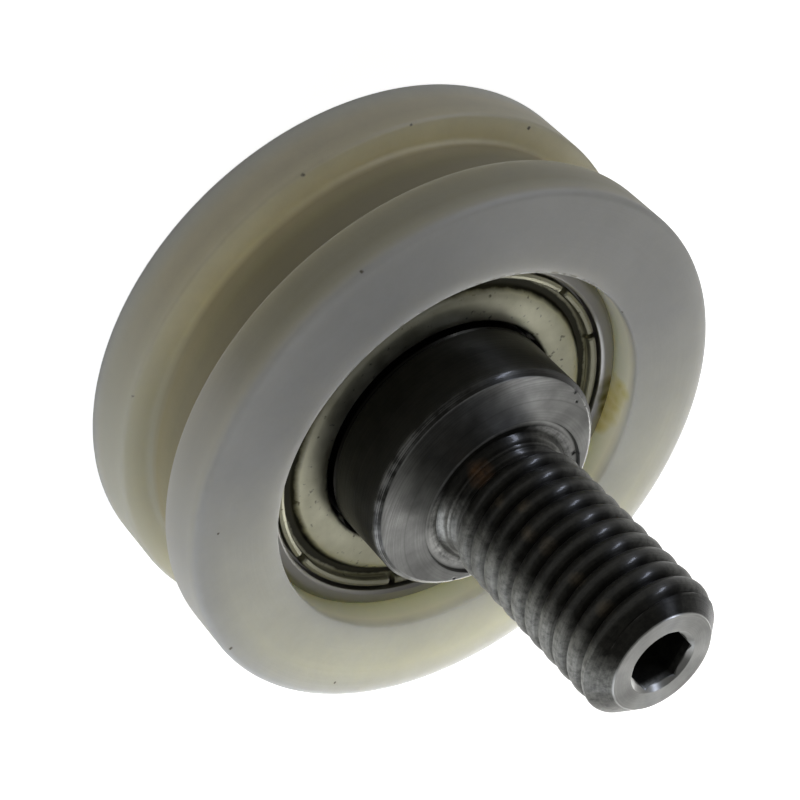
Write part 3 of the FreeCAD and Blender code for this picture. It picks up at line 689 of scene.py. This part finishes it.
def build_shield(name, face, inward):
    """A pressed shield: dished face, trough and slotted rim. inward is -1 in front, +1 behind."""
    bm = bmesh.new()
    corners = [(radius, face + inward * depth) for radius, depth in SHIELD_SECTION]
    polyline(bm, corners, SHIELD_ROUNDS, segments=5)
    spin_wire(bm)
    middle = (RIM_R + RIM_IN_R) / 2.0
    half = (RIM_R - RIM_IN_R) / 2.0
    first_at, first_width = RIM_SLOTS[0]
    next_slots = RIM_SLOTS[1:] + [(first_at + 360.0, first_width)]
    for (at, width), (next_at, next_width) in zip(RIM_SLOTS, next_slots):
        start = at + width / 2.0
        sweep = next_at - next_width / 2.0 - start
        seg = bmesh.new()
        section = [(middle + part * half, face + inward * depth) for part, depth in RIM_SECTION]
        cap = seg.faces.new([seg.verts.new((mm(r), 0.0, mm(z))) for r, z in section])
        bmesh.ops.rotate(seg, verts=seg.verts[:], cent=(0, 0, 0),
                         matrix=Matrix.Rotation(math.radians(start), 3, "Z"))
        bmesh.ops.spin(seg, geom=[cap] + cap.edges[:] + cap.verts[:], cent=(0, 0, 0), axis=(0, 0, 1),
                       dvec=(0, 0, 0), angle=math.radians(sweep), steps=int(sweep / RIM_STEP),
                       use_merge=False)
        bmesh.ops.recalc_face_normals(seg, faces=seg.faces[:])
        steep = math.radians(RIM_END_ANGLE)
        ends = [e for e in seg.edges if e.is_manifold and e.calc_face_angle(0.0) > steep]
        bmesh.ops.bevel(seg, geom=ends, offset=mm(RIM_END_ROUND), offset_type="OFFSET", segments=3,
                        profile=0.5, affect="EDGES", material=-1)
        join(bm, seg)
    return finish_mesh(bm, name, weld=SHIELD_WELD)


# Stud

AXIS = Vector((0.0, mm(ECC), 0.0))
RELIEF_FLOOR = COLLAR_TOP - RELIEF_DEPTH
# The shank's root as (radius, lift over the relief's floor): a shallow groove, then the tool's rings
ROOT_RINGS = [
    (5.5, 0.0), (5.36, -0.01), (5.2, -0.05), (5.08, -0.04), (4.98, 0.06), (4.86, 0.3), (4.78, 0.4),
    (4.68, 0.46), (4.58, 0.5), (4.52, 0.58), (4.5, 0.68), (4.54, 0.76), (4.53, 0.86), (4.45, 0.96),
    (4.36, 1.04), (4.32, 1.16), (4.34, 1.3), (4.3, 1.6), (3.6, 1.9),
]
# One pitch of the rolled thread as (radius, height): narrow root, broad domed crest
THREAD_SECTION = [
    (4.4, 0.0), (4.46, 0.05), (4.62, 0.12), (4.75, 0.19), (4.84, 0.27), (4.905, 0.36), (4.95, 0.46),
    (4.98, 0.58), (5.0, 0.75), (4.98, 0.92), (4.95, 1.04), (4.905, 1.14), (4.84, 1.23), (4.75, 1.31),
    (4.62, 1.38), (4.46, 1.45),
]
# The thread's first turn starts inside the collar, and what is over the end's level belongs to the end
THREAD_FOOT = 15.5475
END_LEVEL = STUD_END - 0.01
HEX_SIDE = math.radians(60.0)
STUD_SHARP = 30.0
STUD_WELD = 0.0004


def grow(bm, loop, place):
    """Extrude a closed edge loop, moving each new vertex to place(old position). Returns the new loop."""
    made = bmesh.ops.extrude_edge_only(bm, edges=loop)["geom"]
    lightest_floor = {item for item in made if isinstance(item, bmesh.types.BMVert)}
    for vert in lightest_floor:
        vert.co = place(vert.co)
    edges = [item for item in made if isinstance(item, bmesh.types.BMEdge)]
    return [edge for edge in edges if lightest_floor.issuperset(edge.verts)]


def from_shank(co):
    """How far a point is from the shank's axis, in millimetres."""
    return (co - AXIS).xy.length * 1000.0


def about_shank(co, radius, height):
    """The point at this radius from the shank's axis, in the direction of co."""
    side = Vector((co.x, co.y - mm(ECC), 0.0)).normalized()
    return Vector((side.x * mm(radius), side.y * mm(radius) + mm(ECC), mm(height)))


def to_relief_edge(co):
    return co.copy() if from_shank(co) <= RELIEF_R else about_shank(co, RELIEF_R, COLLAR_TOP)


def to_relief_foot(co):
    return about_shank(co, min(from_shank(co), RELIEF_R) - RELIEF_DRAFT, RELIEF_FLOOR)


def build_stud():
    bm = bmesh.new()
    corners = [
        (0.0, TAIL_END), (JOURNAL_R - TAIL_BREAK, TAIL_END), (JOURNAL_R, TAIL_END + TAIL_BREAK),
        (JOURNAL_R, CLIP_GROOVE_LOW), (CLIP_GROOVE_R, CLIP_GROOVE_LOW), (CLIP_GROOVE_R, CLIP_GROOVE_HIGH),
        (JOURNAL_R, CLIP_GROOVE_HIGH), (JOURNAL_R, BEARING_FRONT),
        (COLLAR_R - COLLAR_FOOT_BREAK, BEARING_FRONT), (COLLAR_R, BEARING_FRONT + COLLAR_FOOT_BREAK),
        (COLLAR_R, COLLAR_TOP - COLLAR_BREAK), (COLLAR_R - COLLAR_BREAK, COLLAR_TOP),
        (COLLAR_R - COLLAR_LAND, COLLAR_TOP),
    ]
    polyline(bm, corners, {1: 0.08, 2: 0.08, 10: 0.1, 11: 0.08}, segments=4)
    spin_wire(bm)
    bmesh.ops.remove_doubles(bm, verts=bm.verts[:], dist=mm(WELD))
    # The relief cuts through the collar's edge where the shank stands nearest to it
    for vert in bm.verts:
        if vert.co.z > mm(RELIEF_FLOOR) and from_shank(vert.co) < RELIEF_R:
            vert.co.z = mm(RELIEF_FLOOR)
    loop = [e for e in bm.edges if e.is_boundary]
    loop = grow(bm, loop, to_relief_edge)
    loop = grow(bm, loop, to_relief_foot)
    for radius, lift in ROOT_RINGS:
        loop = grow(bm, loop, lambda co, r=radius, h=RELIEF_FLOOR + lift: about_shank(co, r, h))
    bmesh.ops.edgeloop_fill(bm, edges=loop)
    join(bm, build_thread())
    return finish_mesh(bm, "threaded_eccentric_stud", sharp_angle=STUD_SHARP, weld=STUD_WELD)


def hex_radius(co):
    """How far out the socket's wall is in the direction of co."""
    angle = math.atan2(co.y - mm(ECC), co.x)
    to_flat = (angle + HEX_SIDE / 2.0) % HEX_SIDE - HEX_SIDE / 2.0
    return SOCKET_FLAT_R / math.cos(to_flat)


def build_thread():
    """The rolled thread: a screw up the shank, trimmed by two cones, with the key's socket in its end."""
    shank = bmesh.new()
    turns = int((STUD_END - THREAD_FOOT) / PITCH) + 2
    spots = []
    for turn in range(turns):
        for r, h in THREAD_SECTION:
            spots.append(shank.verts.new((mm(r), mm(ECC), mm(THREAD_FOOT + turn * PITCH + h))))
    for a, b in zip(spots, spots[1:]):
        shank.edges.new((a, b))
    bmesh.ops.spin(shank, geom=shank.verts[:] + shank.edges[:], cent=AXIS, axis=(0, 0, 1),
                   dvec=(0, 0, mm(PITCH / THREAD_STEPS)), angle=2.0 * math.pi, steps=THREAD_STEPS,
                   use_merge=False)
    bmesh.ops.remove_doubles(shank, verts=shank.verts[:], dist=mm(THREAD_WELD))
    for vert in shank.verts:
        height = min(max(vert.co.z * 1000.0, NECK_TOP), STUD_END)
        radius = from_shank(vert.co)
        if height <= NECK_TOP:
            radius = NECK_R
        if height >= STUD_END:
            radius = END_FLAT_R
        neck_cone = NECK_R + (height - NECK_TOP)
        end_cone = END_FLAT_R + (STUD_END - height)
        vert.co = about_shank(vert.co, min(radius, neck_cone, end_cone), height)
    bmesh.ops.remove_doubles(shank, verts=shank.verts[:], dist=mm(THREAD_WELD))
    bmesh.ops.dissolve_degenerate(shank, dist=mm(THREAD_SLIVER), edges=shank.edges[:])
    floor = STUD_END - SOCKET_DEPTH
    loop = [e for e in shank.edges if e.is_boundary and min(v.co.z for v in e.verts) > mm(END_LEVEL)]
    loop = grow(shank, loop, lambda co: about_shank(co, SOCKET_MOUTH_R, STUD_END))
    loop = grow(shank, loop, lambda co: about_shank(
        co, hex_radius(co), STUD_END - SOCKET_MOUTH_SLOPE * (SOCKET_MOUTH_R - hex_radius(co))))
    loop = grow(shank, loop, lambda co: about_shank(co, hex_radius(co), floor))
    loop = grow(shank, loop, lambda co: about_shank(co, SOCKET_POINT_R, floor - SOCKET_POINT))
    bmesh.ops.edgeloop_fill(shank, edges=loop)
    return shank


nylon = nylon_material()
shield_steel = shield_material()
stud_steel = stud_material()
# Ground bearing steel: an even satin grey on the ring's face, with a smear of the grease beside it
ring_steel = steel_material("bearing_ring_ground_steel", "#a3a19c", 0.36, smears=RING_SMEARS)
# The inner ring is ground too, and painted black above a height, as painted shade where it shows under
# the shield's edge
inner_steel = steel_material("bearing_inner_ring_oily", "#9a9a96", 0.32, darkened_above=10.6)
# Polished balls: near mirrors
ball_steel = steel_material("ball_polished_steel", "#d6d6d6", 0.08, spread=0.02)
# Pressed cage strip: a warmer, duller grey than the rings
cage_steel = steel_material("cage_pressed_steel", "#a8a59d", 0.35)
# Blackened spring steel: nearly black, with a satin sheen
clip_steel = steel_material("clip_blackened_spring_steel", "#3b3b3c", 0.35)

dress(build_wheel(), "wheel", "roller", nylon)
dress(build_outer_ring(), "wheel", "outer_ring", ring_steel)
front_shield = build_shield("bearing_front_shield", BEARING_FRONT, -1)
rear_shield = build_shield("bearing_rear_shield", BEARING_REAR, 1)
dress(front_shield, "wheel", "front_shield", shield_steel)
dress(rear_shield, "wheel", "rear_shield", shield_steel)
dress(build_stud(), "stud", "eccentric_stud", stud_steel)

CAD_FINISH = {"inner_ring": inner_steel, "retaining_ring": clip_steel, "cage_front": cage_steel,
              "cage_rear": cage_steel, "cage_rivets": cage_steel}
CAD_FINISH.update({"ball_%d" % i: ball_steel for i in range(1, 9)})
for node_name, finish in CAD_FINISH.items():
    nodes[node_name].data.materials.clear()
    nodes[node_name].data.materials.append(finish)


# Stage

# The paper's reach, wall and bend, how brightly it glows to the eye, and the light that comes from all round
PAPER_R = 3000.0
PAPER_WALL = 900.0
PAPER_BEND = 600.0
PAPER_STEPS = 96
PAPER_WELD = 0.01
PAPER_GLOW = 0.86
WORLD_LIGHT = 0.16


def build_floor():
    """A white paper sweep: flat under the part, rolled up into a low wall far behind it on every side."""
    bm = bmesh.new()
    polyline(bm, [(0.0, 0.0), (PAPER_R, 0.0), (PAPER_R, PAPER_WALL)], {1: PAPER_BEND}, segments=12)
    spin_wire(bm, steps=PAPER_STEPS)
    bmesh.ops.remove_doubles(bm, verts=bm.verts[:], dist=mm(PAPER_WELD))
    floor = make_object(bm, "paper_sweep")
    material = bpy.data.materials.new("white_paper")
    material.use_nodes = True
    tree = material.node_tree
    tree.nodes.clear()
    # The eye, metal and glass see bright paper: a glow short of white, and lit paper with its shadow
    path = add(tree, "LightPath")
    seen = path.outputs["Is Camera Ray"]
    for ray in ("Is Glossy Ray", "Is Transmission Ray"):
        seen = add(tree, "Math", operation="MAXIMUM", _0=seen, _1=path.outputs[ray])
    level = add(tree, "Math", operation="MULTIPLY", _0=seen, _1=PAPER_GLOW)
    glow = add(tree, "Emission", Color=grey(1.0), Strength=level)
    paper = add(tree, "BsdfDiffuse", Color=colour("#d2d2d0"))
    both = add(tree, "AddShader", _0=paper, _1=glow)
    add(tree, "OutputMaterial", is_active_output=True, Surface=both)
    floor.data.materials.append(material)


build_floor()

world = bpy.data.worlds.new("studio")
scene.world = world
world.use_nodes = True
plug(world.node_tree, world.node_tree.nodes["Background"], {"Color": grey(1.0), "Strength": WORLD_LIGHT})

LAMP_AIM = Vector((0.0, 0.0, mm(12.0)))


def softbox(name, azimuth, elevation, width, height, power, shade="#ffffff", reach=0.45, gloss=True,
            matt=True):
    """A rectangular lamp in this direction from the part, facing it. Azimuth runs from +X towards +Y."""
    data = bpy.data.lights.new(name, "AREA")
    data.shape = "RECTANGLE"
    data.size = width
    data.size_y = height
    data.energy = power
    data.color = colour(shade)[:3]
    lamp = bpy.data.objects.new(name, data)
    turn, lift = math.radians(azimuth), math.radians(elevation)
    away = Vector((math.cos(turn) * math.cos(lift), math.sin(turn) * math.cos(lift), math.sin(lift)))
    lamp.location = LAMP_AIM + away * reach
    lamp.rotation_euler = (-away).to_track_quat("-Z", "Y").to_euler()
    lamp.visible_camera = False
    lamp.visible_glossy = gloss
    lamp.visible_diffuse = matt
    scene.collection.objects.link(lamp)


# Lamps: direction in degrees, width and height in metres, power in watts
softbox("near_key", 76.0, 26.0, 0.16, 0.1, 0.15, reach=0.17, gloss=False)
softbox("side_key", 14.0, 14.0, 0.34, 0.2, 0.6, "#eef3ff")
softbox("back_panel", 90.0, 38.0, 0.5, 0.3, 0.09)
softbox("back_low", 95.0, 9.0, 0.34, 0.14, 0.65)
softbox("window_strip", 195.0, 20.0, 0.05, 0.25, 1.3, "#dce4fc", matt=False)
softbox("front_fill", 270.0, 55.0, 0.3, 0.3, 0.21, gloss=False)
softbox("left_card", 30.0, 42.0, 0.3, 0.25, 0.1, matt=False)
softbox("right_card", 145.0, 26.0, 0.3, 0.25, 0.045, matt=False)

# Camera: the photograph's angle, turned about its own line of sight, the wheel's face off the middle
ELEVATION = math.radians(39.12)
ROLL = math.radians(136.05)
DISTANCE = 164.9033
FACE_OFFSET_RIGHT = 4.1656
FACE_OFFSET_DOWN = 3.6867
camera_data = bpy.data.cameras.new("camera")
camera_data.sensor_width = 36.0
camera_data.lens = 113.8
camera_data.clip_start = 0.005
camera = bpy.data.objects.new("camera", camera_data)
turn = Matrix.Rotation(math.pi / 2.0 - ELEVATION, 3, "X") @ Matrix.Rotation(ROLL, 3, "Z")
face_centre = Vector((0.0, 0.0, mm(WHEEL_W)))
to_eye = turn @ Vector((-mm(FACE_OFFSET_RIGHT), mm(FACE_OFFSET_DOWN), mm(DISTANCE)))
camera.matrix_world = Matrix.Translation(face_centre + to_eye) @ turn.to_4x4()
scene.collection.objects.link(camera)
scene.camera = camera
